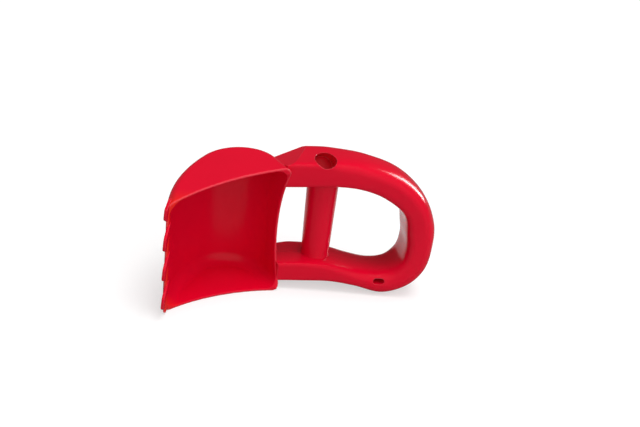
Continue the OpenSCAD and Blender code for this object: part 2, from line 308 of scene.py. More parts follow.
# The grid on which the scoop's surface is found, and how its points settle on it
NET_LOW, NET_HIGH, NET_STEP = (-12.2, -6.2, -1.3), (WIDTH + 2, 73.0, RIM_H + 2), 1.1
SLOPE_REACH, LEAST_SLOPE = 0.02, 0.2
SETTLE_ROUNDS, SETTLE_MOVE = 3, 0.4
TINY = 1e-9

# The solid that cuts the beams off inside the scoop's wall
PLUG_INSET, PLUG_STEPS, PLUG_LIP, PLUG_END = 1.3, 48, 20.0, 25.0
PLUG_BELOW, PLUG_ABOVE = 5.0, 30.0


def toy_place():
    """Where the grip's own frame stands: the loop's far end and the seam plane give it."""
    low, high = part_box("handle_back")
    sizes = bpy.context.scene.digger_sizes
    stations = np.array(STATIONS, dtype=float)
    steps = np.linspace(0.0, 1.0, 64)
    turn, reach, lowest = sizes.rake, [], []
    for i in range(len(stations) - 1):
        picks = [stations[min(len(stations) - 1, max(0, i + k - 1))] for k in range(4)]
        for t in steps:
            s = catmull(picks, t)
            s = s[:2] * (1 + SKIN) / 2 + s[2:4] * (1 - SKIN) / 2
            reach.append(s[0] * math.cos(turn) - s[1] * math.sin(turn))
            lowest.append(s[1] * math.cos(turn) + s[0] * math.sin(turn))
    return Vector((high[0] - max(reach) * MM, low[1], -min(lowest) * MM))


def catmull(p, t):
    """Point at t between the second and the third of four points."""
    bend = 2 * p[0] - 5 * p[1] + 4 * p[2] - p[3]
    twist = 3 * p[1] - p[0] - 3 * p[2] + p[3]
    return 0.5 * (2 * p[1] + (p[2] - p[0]) * t + bend * t * t + twist * t ** 3)


# -------------------------------------------------------------- scoop surface

def rounded_max(a, b, radius):
    """Where two solids meet, with the edge rounded to radius."""
    over_a, over_b = np.maximum(a + radius, 0), np.maximum(b + radius, 0)
    return np.hypot(over_a, over_b) - radius + np.minimum(np.maximum(a + radius, b + radius), 0)


def wall_distance(u, v):
    """Distance outside the scoop's plan: long back arc, round heel, straight end."""
    back_u, back_v = u - BACK_R * math.sin(LIP_ANGLE), v + BACK_R * math.cos(LIP_ANGLE)
    heel_u = u - BACK_U - HEEL_R * math.sin(HEEL_ANGLE)
    heel_v = v - BACK_V + HEEL_R * math.cos(HEEL_ANGLE)
    heel_turn = np.arctan2(-heel_u, heel_v)
    back_turn = np.arctan2(-back_u, back_v)
    lip_line = -u * math.sin(LIP_ANGLE) + v * math.cos(LIP_ANGLE)
    back = np.where(back_turn > LIP_ANGLE, lip_line, np.hypot(back_u, back_v) - BACK_R)
    heel = np.where(heel_turn > -0.5 * math.pi, np.hypot(heel_u, heel_v) - HEEL_R, u - WIDTH)
    return np.where(heel_turn > HEEL_ANGLE, back, heel)


class ScoopShape:
    """Signed distance of the scoop's shell, in millimetres, in the frame of its mouth."""

    def __init__(self, sizes):
        self.wall = sizes.wall / MM
        self.outside = sizes.edge_round / MM
        self.rim = sizes.rim_round / MM
        self.cove = sizes.cove_round / MM
        self.turn = sizes.mouth_turn
        self.lean = math.tan(sizes.rake)

    def unleaned(self, p):
        """Where the points stand in plan, with the scoop's lean taken out."""
        u = p[..., 0] + math.cos(self.turn) * self.lean * p[..., 2]
        v = p[..., 1] - math.sin(self.turn) * self.lean * p[..., 2]
        return u, v

    def body(self, u, v, z, inset, radius):
        """Distance outside the scoop's whole form, shrunk by inset, with its edges rounded."""
        top = (z - RIM_H - (u - WIDTH) * math.tan(TOP_SLOPE)) * math.cos(TOP_SLOPE)
        share = np.clip(z / RIM_H, 0, 1)
        narrowed = 1 + (math.cos(TOP_SLOPE) - 1) * share
        side = wall_distance(WIDTH + (u - WIDTH) / narrowed, v)
        solid = rounded_max(side + inset, top + inset, radius)
        return rounded_max(solid, inset - z, radius)

    def __call__(self, p):
        u, v = self.unleaned(p)
        z = p[..., 2]
        outer = self.body(u, v, z, 0.0, self.outside)
        inner = self.body(u, v, z, self.wall, self.cove)
        mouth = self.mouth(p)
        shell = np.maximum(rounded_max(outer, mouth, self.rim),
                           rounded_max(-inner, mouth, self.rim))
        return np.minimum(shell, self.strip(u, v, z))

    def mouth(self, p):
        """Distance outside the hollowed edges of the plates and the heel."""
        z = p[..., 2]
        plate_r = (WIDTH ** 2 / 4 + PLATE_HOLLOW ** 2) / (2 * PLATE_HOLLOW)
        heel_r = (RIM_H ** 2 / 4 + HEEL_HOLLOW ** 2) / (2 * HEEL_HOLLOW)
        pu, pv = p[..., 0], p[..., 1]
        plates = plate_r - np.hypot(pu - WIDTH / 2, pv - PLATE_HOLLOW + plate_r)
        heel = heel_r - np.hypot(pv - HEEL_HOLLOW + heel_r, z - RIM_H / 2)
        return np.maximum(np.maximum(-pv, plates), np.minimum(heel, pu - HEEL_FROM))

    def rub_and_highlight(self, p):
        """How much the open edge shows wear and a painted highlight: most on the edge's outer
        corner.
        """
        u, v = self.unleaned(p)
        near = np.clip(1 + self.mouth(p) / RUB_AND_HIGHLIGHT_DEPTH, 0, 1)
        outer = self.body(u, v, p[..., 2], 0.0, self.outside)
        return RUB_AND_HIGHLIGHT_SHARE * near ** 2 * np.clip(1 + outer / RUB_AND_HIGHLIGHT_OUTSIDE, 0, 1)

    def lip_glow(self, p):
        """How near the lip a point is, where a painted glow stands for light coming through the
        plastic.
        """
        u, v = self.unleaned(p)
        along = u * math.cos(TOOTH_ANGLE) + v * math.sin(TOOTH_ANGLE)
        return LIP_GLOW_SHARE * np.clip(1 - along / LIP_GLOW_REACH, 0, 1) ** LIP_GLOW_FADE

    def strip(self, u, v, z):
        """The strip that runs up the lip and carries the teeth."""
        along = u * math.cos(TOOTH_ANGLE) + v * math.sin(TOOTH_ANGLE)
        across = u * math.sin(TOOTH_ANGLE) - v * math.cos(TOOTH_ANGLE)
        over = [
            np.abs(across - TOOTH_SET - self.wall / 2) - self.wall / 2,
            np.abs(along - (LIP_ROOT - LIP_STRIP) / 2) - (LIP_ROOT + LIP_STRIP) / 2,
            np.abs(z - STRIP_MIDDLE) - STRIP_HALF]
        over = [distance + STRIP_ROUND for distance in over]
        outside = np.sqrt(sum(np.maximum(distance, 0) ** 2 for distance in over))
        return outside + np.minimum(np.maximum.reduce(over), 0) - STRIP_ROUND


def surface_slope(shape, p):
    """Value and slope of a distance at points."""
    slope = np.empty_like(p)
    for axis in range(3):
        step = np.zeros(3)
        step[axis] = SLOPE_REACH
        slope[:, axis] = (shape(p + step) - shape(p - step)) / (2 * SLOPE_REACH)
    return shape(p), slope


def surface_net(shape, low, high, step):
    """Points, quads and normals of the surface where the distance is nought."""
    counts = np.ceil((np.array(high) - low) / step).astype(int) + 1
    grid = np.stack(np.meshgrid(*(low[i] + step * np.arange(counts[i]) for i in range(3)),
                                indexing="ij"), axis=-1)
    value = shape(grid)
    inside = value < 0
    cells = counts - 1
    total = np.zeros((*cells, 3))
    hits = np.zeros(cells)
    crossings = []
    for axis in range(3):
        here = [slice(None)] * 3
        there = [slice(None)] * 3
        here[axis], there[axis] = slice(None, -1), slice(1, None)
        cross = np.argwhere(inside[tuple(here)] != inside[tuple(there)])
        nxt = cross.copy()
        nxt[:, axis] += 1
        v0, v1 = value[tuple(cross.T)], value[tuple(nxt.T)]
        share = (v0 / (v0 - v1))[:, None]
        place = grid[tuple(cross.T)] * (1 - share) + grid[tuple(nxt.T)] * share
        b, c = (axis + 1) % 3, (axis + 2) % 3
        ring = []
        for back_b, back_c in ((1, 1), (0, 1), (0, 0), (1, 0)):
            cell = cross.copy()
            cell[:, b] -= back_b
            cell[:, c] -= back_c
            ring.append(cell)
            np.add.at(total, tuple(cell.T), place)
            np.add.at(hits, tuple(cell.T), 1)
        crossings.append((ring, inside[tuple(cross.T)]))
    used = hits > 0
    number = np.full(cells, -1)
    number[used] = np.arange(used.sum())
    points = total[used] / hits[used][:, None]
    faces = []
    for ring, leaves in crossings:
        quad = np.stack([number[tuple(cell.T)] for cell in ring], axis=1)
        quad[~leaves] = quad[~leaves][:, ::-1]
        faces.append(quad)
    for _ in range(SETTLE_ROUNDS):
        height, slope = surface_slope(shape, points)
        size = np.maximum(np.sum(slope ** 2, axis=1), LEAST_SLOPE)
        move = -(height / size)[:, None] * slope
        length = np.linalg.norm(move, axis=1)[:, None]
        points = points + move * np.minimum(1, SETTLE_MOVE * step / np.maximum(length, TINY))
    slope = surface_slope(shape, points)[1]
    normals = slope / np.maximum(np.linalg.norm(slope, axis=1)[:, None], TINY)
    return points, np.concatenate(faces), normals


def mouth_to_toy(p, turn):
    """Turns points or normals from the mouth's frame to the toy's."""
    c, s = math.cos(turn), math.sin(turn)
    return np.stack([c * p[:, 0] - s * p[:, 1], s * p[:, 0] + c * p[:, 1], p[:, 2]], axis=1)


def mouth_to_scene(p, turn):
    """From millimetres in the mouth's frame to metres in the scene, on the floor."""
    place = toy_place()
    return (mouth_to_toy(p, turn) + [LIP_X, LIP_Y, 0]) * MM + [place.x, place.y, 0]


class DIGGER_OT_scoop_shell(bpy.types.Operator):
    """Make the scoop's shell with its hollowed, rounded rims"""

    bl_idname = "digger.scoop_shell"
    bl_label = "Scoop Shell"

    def execute(self, context):
        sizes = context.scene.digger_sizes
        shape = ScoopShape(sizes)
        net, faces, normals = surface_net(shape, NET_LOW, NET_HIGH, NET_STEP)
        obj = new_mesh_object("scoop_shell", mouth_to_scene(net, sizes.mouth_turn), faces)
        mesh = obj.data
        mesh.shade_smooth()
        # A painted highlight with wear along the scoop's open rim, and a painted glow near the lip
        # for light coming through the plastic.
        for name, share in (("rub_and_highlight", shape.rub_and_highlight(net)), ("lip_glow", shape.lip_glow(net))):
            values = mesh.attributes.new(name, "FLOAT", "POINT")
            values.data.foreach_set("value", share.astype(np.float32))
        normals = mouth_to_toy(normals, sizes.mouth_turn)
        mesh.normals_split_custom_set_from_vertices([tuple(n) for n in normals])
        mesh.materials.append(plastic_for("scoop"))
        finish_piece(obj, "scoop_shell", "scoop")
        return {"FINISHED"}


# --------------------------------------------------------------- node trees

class Nodes:
    """Writes a node tree as sums: each call adds a node and returns an output of it."""

    def __init__(self, tree):
        self.tree = tree

    def join(self, value, socket):
        """Links a socket to another, or sets it to a plain value."""
        if isinstance(value, bpy.types.NodeSocket):
            self.tree.links.new(value, socket)
        else:
            socket.default_value = value

    def add(self, kind, settings=None, inputs=None, out=0):
        """A new node's output of this name or number, or all its outputs for None."""
        node = self.tree.nodes.new(kind)
        for key, value in (settings or {}).items():
            setattr(node, key, value)
        for key, value in (inputs or {}).items():
            if value is not None:
                self.join(value, node.inputs[key])
        return node.outputs if out is None else node.outputs[out]

    def sum(self, operation, a, b=None, c=None, clamp=False):
        return self.add("ShaderNodeMath", {"operation": operation, "use_clamp": clamp},
                        {0: a, 1: b, 2: c})

    def mix(self, kind, factor, a, b):
        return self.add("ShaderNodeMix", {"data_type": kind},
                        {"Factor": factor, "A": a, "B": b}, "Result")

    def noise(self, place, scale, detail=2.0):
        return self.add("ShaderNodeTexNoise",
                        inputs={"Vector": place, "Scale": scale, "Detail": detail})

    def span(self, value, low, high):
        """How far the value has come from low to high, from nought to 1."""
        return self.add("ShaderNodeMapRange",
                        inputs={"Value": value, "From Min": low, "From Max": high})


class Tree(Nodes):
    """A Geometry Nodes tree for one piece, with named inputs."""

    KINDS = {float: "Float", int: "Int", tuple: "Vector",
             bpy.types.Object: "Object", bpy.types.Material: "Material"}

    def __init__(self, name):
        group = bpy.data.node_groups.new(name, "GeometryNodeTree")
        group.is_modifier = True
        super().__init__(group)
        for way in ("INPUT", "OUTPUT"):
            group.interface.new_socket(
                "Geometry", in_out=way, socket_type="NodeSocketGeometry")
        self.enter = group.nodes.new("NodeGroupInput")
        self.leave = group.nodes.new("NodeGroupOutput")
        self.values = {}

    def ask(self, name, value):
        """A named input with its value; returns its socket inside the tree."""
        kind = self.KINDS[type(value)]
        socket = self.tree.interface.new_socket(
            name, in_out="INPUT", socket_type="NodeSocket" + kind)
        self.values[socket.identifier] = value
        return self.enter.outputs[name]

    def vector(self, operation, a, b=None, scale=None):
        return self.add("ShaderNodeVectorMath", {"operation": operation},
                        {0: a, 1: b, "Scale": scale})

    def point(self, x, y, z):
        return self.add("ShaderNodeCombineXYZ", inputs={"X": x, "Y": y, "Z": z})

    def moved(self, geometry, shift=None, turn=None):
        """The geometry turned, then shifted by a socket or by millimetres."""
        if isinstance(shift, tuple):
            shift = tuple(way * MM for way in shift)
        return self.add("GeometryNodeTransform", inputs={
            "Geometry": geometry, "Translation": shift, "Rotation": turn})

    def cube(self, size):
        """A block of this size in millimetres."""
        return self.add("GeometryNodeMeshCube", inputs={"Size": [side * MM for side in size]})

    def cylinder(self, around, radius=None, depth=None, along=None):
        return self.add("GeometryNodeMeshCylinder", {"fill_type": "NGON"}, {
            "Vertices": around, "Side Segments": along, "Radius": radius, "Depth": depth})

    def shape_of(self, obj):
        return self.add("GeometryNodeObjectInfo", inputs={"Object": obj}, out="Geometry")

    def less(self, geometry, *cutters):
        """The geometry with the cutters taken out of it."""
        node = self.tree.nodes.new("GeometryNodeMeshBoolean")
        node.operation = "DIFFERENCE"
        node.solver = "MANIFOLD"
        self.join(geometry, node.inputs["Mesh 1"])
        for cutter in cutters:
            self.join(cutter, node.inputs["Mesh 2"])
        return node.outputs["Mesh"]

    def end(self, geometry, material):
        real = self.add("GeometryNodeRealizeInstances", inputs={"Geometry": geometry})
        done = self.add("GeometryNodeSetMaterial", inputs={"Geometry": real, "Material": material})
        self.join(done, self.leave.inputs[0])

    def run(self, obj):
        """Puts the tree on an object, sets its inputs, and makes the result a plain mesh."""
        modifier = obj.modifiers.new(self.tree.name, "NODES")
        modifier.node_group = self.tree
        for identifier, value in self.values.items():
            modifier[identifier] = value
        apply_modifiers(obj)


# --------------------------------------------------------------------- teeth

def tooth_mesh(sizes):
    """One tooth lying flat, root towards +y, its corners and edges rounded."""
    length, thick = sizes.tooth_length / MM, sizes.wall / MM - TOOTH_SLACK
    root, tip = TOOTH_ROOT / 2, TOOTH_TIP / 2
    corners = [Vector(corner) for corner in (
        (-root, LIP_ROOT), (root, LIP_ROOT), (root, 0), (tip, -length), (-tip, -length),
        (-root, 0))]
    outline = []
    for i, here in enumerate(corners):
        a = here + (corners[i - 1] - here).normalized() * TOOTH_CORNERS[i]
        b = here + (corners[(i + 1) % len(corners)] - here).normalized() * TOOTH_CORNERS[i]
        for j in range(CORNER_STEPS + 1):
            t = j / CORNER_STEPS
            outline.append((1 - t) ** 2 * a + 2 * t * (1 - t) * here + t * t * b)
    mesh = bmesh.new()
    ring = [mesh.verts.new((p.x, p.y, 0)) for p in reversed(outline)]
    base = mesh.faces.new(ring)
    lifted = bmesh.ops.extrude_face_region(mesh, geom=[base])["geom"]
    bmesh.ops.translate(mesh, vec=(0, 0, thick), verts=[
        v for v in lifted if isinstance(v, bmesh.types.BMVert)])
    bmesh.ops.recalc_face_normals(mesh, faces=mesh.faces)
    rims = [e for e in mesh.edges if e.verts[0].co.z == e.verts[1].co.z]
    bmesh.ops.bevel(
        mesh, geom=rims, offset=TOOTH_ROUND, segments=4, affect="EDGES", profile=0.5)
    bmesh.ops.scale(mesh, vec=(MM, MM, MM), verts=mesh.verts)
    data = bpy.data.meshes.new("one_tooth")
    mesh.to_mesh(data)
    mesh.free()
    return linked(bpy.data.objects.new("one_tooth", data))


class DIGGER_OT_teeth(bpy.types.Operator):
    """Set the teeth along the lip, and cut the highest off with the top plate"""

    bl_idname = "digger.teeth"
    bl_label = "Teeth"

    def execute(self, context):
        sizes = context.scene.digger_sizes
        place, lean = toy_place(), math.tan(sizes.rake)
        single = tooth_mesh(sizes)
        tree = Tree("teeth_along_lip")
        tooth = tree.ask("Tooth", single)
        count = tree.ask("Count", sizes.tooth_count)
        apart = tree.ask(
            "Pitch", (LIP_H - TOOTH_FOOT + TOOTH_OVER) / sizes.tooth_count * MM)
        foot = tree.ask("Lowest Root", TOOTH_FOOT * MM)
        leaning = tree.ask("Lean", lean)
        mouth = tree.ask("Mouth Turn", sizes.mouth_turn)
        plastic = tree.ask("Plastic", plastic_for("teeth"))

        index = tree.add("GeometryNodeInputIndex")
        height = tree.sum("MULTIPLY_ADD", tree.sum("ADD", index, 0.5), apart, foot)
        back = tree.sum("MULTIPLY", height, leaning)
        away_u = tree.sum("MULTIPLY", tree.sum("MULTIPLY", back, tree.sum("COSINE", mouth)), -1.0)
        away_v = tree.sum("MULTIPLY", back, tree.sum("SINE", mouth))
        placed = tree.add("GeometryNodeSetPosition", inputs={
            "Geometry": tree.add("GeometryNodePoints", inputs={"Count": count}),
            "Position": tree.point(away_u, away_v, height)})
        flat = tree.moved(tree.shape_of(tooth), (0, 0, TOOTH_SET + TOOTH_SLACK / 2))
        upright = tree.moved(flat, None, (0, math.pi / 2, 0))
        aslant = tree.moved(upright, None, (0, 0, TOOTH_ANGLE - math.pi / 2))
        row = tree.add(
            "GeometryNodeInstanceOnPoints", inputs={"Points": placed, "Instance": aslant})
        row = tree.add("GeometryNodeRealizeInstances", inputs={"Geometry": row})

        # A block that lies on the scoop's top plate takes off what stands above it
        away = RIM_H * lean
        cap = tree.moved(tree.cube(CAP_SIZE), (0, 0, CAP_SIZE[2] / 2 - CAP_SINK))
        cap = tree.moved(cap, (WIDTH - math.cos(sizes.mouth_turn) * away,
                               math.sin(sizes.mouth_turn) * away, RIM_H), (0, -TOP_SLOPE, 0))
        row = tree.moved(tree.less(row, cap), None, tree.point(0.0, 0.0, mouth))
        row = tree.moved(row, (place.x / MM + LIP_X, place.y / MM + LIP_Y, 0))
        tree.end(row, plastic)
        obj = new_mesh_object("scoop_teeth", [(0, 0, 0)], [])
        tree.run(obj)
        bpy.data.objects.remove(single)
        crisp(obj.data, TEETH_CREASE)
        finish_piece(obj, "scoop_teeth", "scoop")
        return {"FINISHED"}


# -------------------------------------------------------------------- handle

def handle_path():
    """The stations as a line of points that carry the shape of each section."""
    stations = np.array(STATIONS, dtype=float)
    count = len(stations)
    mesh = bpy.data.meshes.new("handle_path")
    mesh.from_pydata([(s[0] * MM, 0, s[1] * MM) for s in stations],
                     [(i, i + 1) for i in range(count - 1)], [])
    inner = mesh.attributes.new("inner", "FLOAT_VECTOR", "POINT")
    inner.data.foreach_set("vector", np.stack(
        [stations[:, 2] * MM, np.zeros(count), stations[:, 3] * MM], axis=1).ravel())
    for name, column, scale in (
            ("half", 4, MM * SKIN), ("square_out", 5, 1), ("square_in", 6, 1)):
        values = mesh.attributes.new(name, "FLOAT", "POINT")
        values.data.foreach_set("value", stations[:, column] * scale)
    return linked(bpy.data.objects.new("handle_path", mesh))


def scoop_plug(sizes):
    """A solid as wide as the middle of the scoop's wall, which cuts the beams off there."""
    outline = [(-PLUG_LIP * math.cos(LIP_ANGLE), -PLUG_LIP * math.sin(LIP_ANGLE))]
    heel_u = BACK_U + HEEL_R * math.sin(HEEL_ANGLE)
    heel_v = BACK_V - HEEL_R * math.cos(HEEL_ANGLE)
    back_u, back_v = BACK_R * math.sin(LIP_ANGLE), -BACK_R * math.cos(LIP_ANGLE)
    for middle_u, middle_v, r, start, stop, skip in (
            (back_u, back_v, BACK_R, LIP_ANGLE, HEEL_ANGLE, 0),
            (heel_u, heel_v, HEEL_R, HEEL_ANGLE, -math.pi / 2, 1)):
        for i in range(skip, PLUG_STEPS + 1):
            a = start + (stop - start) * i / PLUG_STEPS
            outline.append((middle_u - (r - PLUG_INSET) * math.sin(a),
                            middle_v + (r - PLUG_INSET) * math.cos(a)))
    outline.append((WIDTH - PLUG_INSET, -PLUG_END))
    outline = np.array(outline)[::-1]
    lean = math.tan(sizes.rake)
    rings = []
    for z in (-PLUG_BELOW, RIM_H + PLUG_ABOVE):
        share = min(1.0, max(0.0, z / RIM_H))
        u = WIDTH + (outline[:, 0] - WIDTH) * (1 + (math.cos(TOP_SLOPE) - 1) * share)
        u = u - math.cos(sizes.mouth_turn) * lean * z
        v = outline[:, 1] + math.sin(sizes.mouth_turn) * lean * z
        rings.append(np.stack([u, v, np.full(len(u), z)], axis=1))
    points = mouth_to_scene(np.concatenate(rings), sizes.mouth_turn)
    n = len(outline)
    faces = [tuple(range(n - 1, -1, -1)), tuple(range(n, 2 * n))]
    faces += [(i, (i + 1) % n, n + (i + 1) % n, n + i) for i in range(n)]
    obj = new_mesh_object("scoop_plug", points, faces)
    if signed_volume(obj.data) < 0:
        obj.data.flip_normals()
    return obj


def handle_tree(sizes, back, plug, material):
    """Half of the hollow handle's outside: a ring swept through the stations, then cut."""
    tree = Tree("handle_half")
    side = tree.ask("Side", 1.0 if back else -1.0)
    around = tree.ask("Ring Points", sizes.ring_points)
    between = tree.ask("Ring Steps", sizes.ring_steps)
    rake = tree.ask("Rake", sizes.rake)
    hole_d = tree.ask("Thumb Hole Diameter", sizes.thumb_hole)
    hole_tilt = tree.ask("Thumb Hole Tilt", sizes.thumb_tilt)
    stand = tree.ask("Place", tuple(toy_place()))
    scoop = tree.ask("Scoop Plug", plug)
    plastic = tree.ask("Plastic", material)

    # One ring of the cylinder for each point of the path, and its turn round the section
    curve = tree.add("GeometryNodeMeshToCurve", inputs={"Mesh": tree.enter.outputs["Geometry"]})
    curve = tree.add(
        "GeometryNodeCurveSplineType", {"spline_type": "CATMULL_ROM"}, {"Curve": curve})
    curve = tree.add(
        "GeometryNodeSetSplineResolution", inputs={"Geometry": curve, "Resolution": between})
    path = tree.add("GeometryNodeCurveToPoints", {"mode": "EVALUATED"}, {"Curve": curve})
    rings = tree.add(
        "GeometryNodeAttributeDomainSize", {"component": "POINTCLOUD"}, {"Geometry": path})
    tube = tree.cylinder(around, along=tree.sum("SUBTRACT", rings, 1.0))
    index = tree.add("GeometryNodeInputIndex")
    ring = tree.sum("FLOOR", tree.sum("DIVIDE", tree.sum("ADD", index, 0.5), around))
    turn = tree.sum("SUBTRACT", index, tree.sum("MULTIPLY", ring, around))
    turn = tree.sum("DIVIDE", turn, tree.sum("SUBTRACT", around, 1.0))
    angle = tree.sum("MULTIPLY", turn, math.pi)

    def sampled(name, kind="FLOAT"):
        """What the path carries under this name, at this point's ring."""
        if name == "position":
            value = tree.add("GeometryNodeInputPosition")
        else:
            value = tree.add("GeometryNodeInputNamedAttribute", {"data_type": kind},
                             {"Name": name}, "Attribute")
        return tree.add("GeometryNodeSampleIndex", {"data_type": kind}, {
            "Geometry": path, "Value": value, "Index": ring}, "Value")

    # The section: squarer where its power is higher, on the outer and the inner side
    outer, inner = sampled("position", "FLOAT_VECTOR"), sampled("inner", "FLOAT_VECTOR")
    half, out_n, in_n = sampled("half"), sampled("square_out"), sampled("square_in")
    cosine, sine = tree.sum("COSINE", angle), tree.sum("ABSOLUTE", tree.sum("SINE", angle))
    outwards = tree.sum("GREATER_THAN", cosine, 0.0)
    square = tree.sum("ADD", tree.sum("MULTIPLY", outwards, out_n),
                      tree.sum("MULTIPLY", tree.sum("SUBTRACT", 1.0, outwards), in_n))
    power = tree.sum("DIVIDE", 2.0, square)
    reach = tree.sum("MULTIPLY", tree.sum("SIGN", cosine),
                     tree.sum("POWER", tree.sum("ABSOLUTE", cosine), power))
    deep = tree.sum("MULTIPLY", tree.sum("MULTIPLY", half, tree.sum("POWER", sine, power)), side)
    middle = tree.vector("SCALE", tree.vector("ADD", outer, inner), scale=0.5)
    across = tree.vector("SCALE", tree.vector("SUBTRACT", outer, inner), scale=0.5 * SKIN)
    place = tree.vector("ADD", middle, tree.vector("SCALE", across, scale=reach))
    place = tree.vector("ADD", place, tree.point(0.0, deep, 0.0))
    tube = tree.add("GeometryNodeSetPosition", inputs={"Geometry": tube, "Position": place})
    if not back:
        tube = tree.add("GeometryNodeFlipFaces", inputs={"Mesh": tube})

    ramp = tree.moved(tree.cube(RAMP_SIZE), (-RAMP_SIZE[0] / 2, 0, RAMP_SIZE[2] / 2))
    ramp = tree.moved(ramp, RAMP_PLACE, RAMP_TURN)
    hole = tree.cylinder(HOLE_AROUND, tree.sum("MULTIPLY", hole_d, 0.5), HOLE_ROD * MM)
    hole = tree.moved(hole, (0, 0, HOLE_ROD / 2 - HOLE_DEPTH))
    hole = tree.moved(hole, HOLE_PLACE, tree.point(hole_tilt, 0.0, 0.0))
    if back:
        last = tree.moved(
            tree.cube(WEDGE_SIZE), (-WEDGE_SIZE[0] / 2, WEDGE_SIZE[1] / 2, WEDGE_RISE))
        last = tree.moved(last, WEDGE_PLACE, WEDGE_TURN)
    else:
        end = tree.cylinder(SLOT_AROUND, SLOT_R * MM, SLOT_ROD * MM)
        ends = tree.tree.nodes.new("GeometryNodeJoinGeometry")
        for shift in (-SLOT_R, SLOT_R):
            tree.join(tree.moved(end, (shift, 0, 0)), ends.inputs[0])
        last = tree.add("GeometryNodeConvexHull", inputs={"Geometry": ends.outputs[0]})
        last = tree.moved(last, SLOT_PLACE, (math.pi / 2, 0, 0))
    tube = tree.less(tube, ramp, hole, last)
    tube = tree.moved(tube, stand, tree.point(0.0, tree.sum("MULTIPLY", rake, -1.0), 0.0))
    tree.end(tree.less(tube, tree.shape_of(scoop)), plastic)
    return tree


class DIGGER_OT_handle(bpy.types.Operator):
    """Sweep the two halves of the loop handle, with the thumb hole and the drain slot"""

    bl_idname = "digger.handle"
    bl_label = "Handle"

    def execute(self, context):
        sizes = context.scene.digger_sizes
        plug = scoop_plug(sizes)
        for back in (False, True):
            name = "handle_back" if back else "handle_front"
            obj = handle_path()
            handle_tree(sizes, back, plug, plastic_for("handle")).run(obj)
            crisp(obj.data, HANDLE_CREASE)
            finish_piece(obj, name + "_half", name)
        bpy.data.objects.remove(plug)
        return {"FINISHED"}


# ---------------------------------------------------------------------- grip

def grip_profile():
    """Radius and height up the grip: rounded foot, flare, taper and flat top."""
    r, seat, flare_end = GRIP_FOOT_R, GRIP_SEAT, GRIP_SEAT + 4.2
    profile = [(0, GRIP_START), (r - 0.8, GRIP_START), (r - 0.2, GRIP_START + 0.2),
               (r, GRIP_START + 0.8), (r, seat - 1.0)]
    for i in range(FLARE_STEPS + 1):
        t = i / FLARE_STEPS
        profile.append((r + GRIP_FLARE * (1 - math.sin(t * math.pi / 2)), seat - 0.8 + 5.0 * t))
    for i in range(1, TAPER_STEPS + 1):
        t = i / TAPER_STEPS
        profile.append((r + (GRIP_TOP_R - r) * t, flare_end + (UPPER_FLOOR - flare_end) * t))
    top = UPPER_FLOOR + 1.0
    return profile + [(GRIP_TOP_R, top), (0, top)]


def turned(profile, around):
    """Points and faces of a profile turned about z, from its first to its last point."""
    points = [(0, 0, profile[0][1])]
    angles = [2 * math.pi * k / around for k in range(around)]
    for r, z in profile[1:-1]:
        points += [(r * math.cos(a), r * math.sin(a), z) for a in angles]
    points.append((0, 0, profile[-1][1]))
    rings, last = len(profile) - 2, len(points) - 1
    pairs = [(k, (k + 1) % around) for k in range(around)]
    faces = [(0, 1 + after, 1 + k) for k, after in pairs]
    for j in range(rings - 1):
        a, b = 1 + j * around, 1 + (j + 1) * around
        faces += [(a + k, a + after, b + after, b + k) for k, after in pairs]
    top = 1 + (rings - 1) * around
    faces += [(top + k, top + after, last) for k, after in pairs]
    return np.array(points), faces


class DIGGER_OT_grip(bpy.types.Operator):
    """Turn the upright grip, which widens upwards and flares a little at its foot"""

    bl_idname = "digger.grip"
    bl_label = "Grip"

    def execute(self, context):
        sizes = context.scene.digger_sizes
        points, faces = turned(grip_profile(), GRIP_AROUND)
        points = points * MM
        c, s = math.cos(sizes.rake), math.sin(sizes.rake)
        points = np.stack([points[:, 0] * c - points[:, 2] * s, points[:, 1],
                           points[:, 0] * s + points[:, 2] * c], axis=1) + list(toy_place())
        obj = new_mesh_object("grip_post", points, faces)
        crisp(obj.data, GRIP_CREASE)
        obj.data.materials.append(plastic_for("grip"))
        finish_piece(obj, "grip_post", "grip")
        return {"FINISHED"}


# ------------------------------------------------------------ shader groups

def shared_group(name, inputs, outputs, build):
    """The shader group of this name, built the first time that it is asked for.

    An input is a number, or None for a vector; build gives a socket for each output.
    """
    group = bpy.data.node_groups.get(name)
    if group:
        return group
    group = bpy.data.node_groups.new(name, "ShaderNodeTree")
    for key, value in inputs.items():
        kind = "NodeSocketVector" if value is None else "NodeSocketFloat"
        socket = group.interface.new_socket(key, in_out="INPUT", socket_type=kind)
        if value is not None:
            socket.default_value = value
    for key, kind in outputs.items():
        group.interface.new_socket(key, in_out="OUTPUT", socket_type="NodeSocket" + kind)
    enter, leave = group.nodes.new("NodeGroupInput"), group.nodes.new("NodeGroupOutput")
    nodes = Nodes(group)
    for key, socket in build(nodes, enter.outputs).items():
        nodes.join(socket, leave.inputs[key])
    return group


def moulded_skin(nodes, given):
    """Fine unevenness of a moulded skin: a height for Bump and a small change of roughness."""
    ripple = nodes.noise(given["Vector"], given["Ripple Scale"])
    grain = nodes.noise(given["Vector"], given["Grain Scale"], 3.0)
    return {
        "Height": nodes.mix("FLOAT", given["Grain Share"], ripple, grain),
        "Roughness": nodes.sum("MULTIPLY_ADD", nodes.sum("SUBTRACT", ripple, 0.5),
                               given["Roughness Spread"], given["Base Roughness"])}


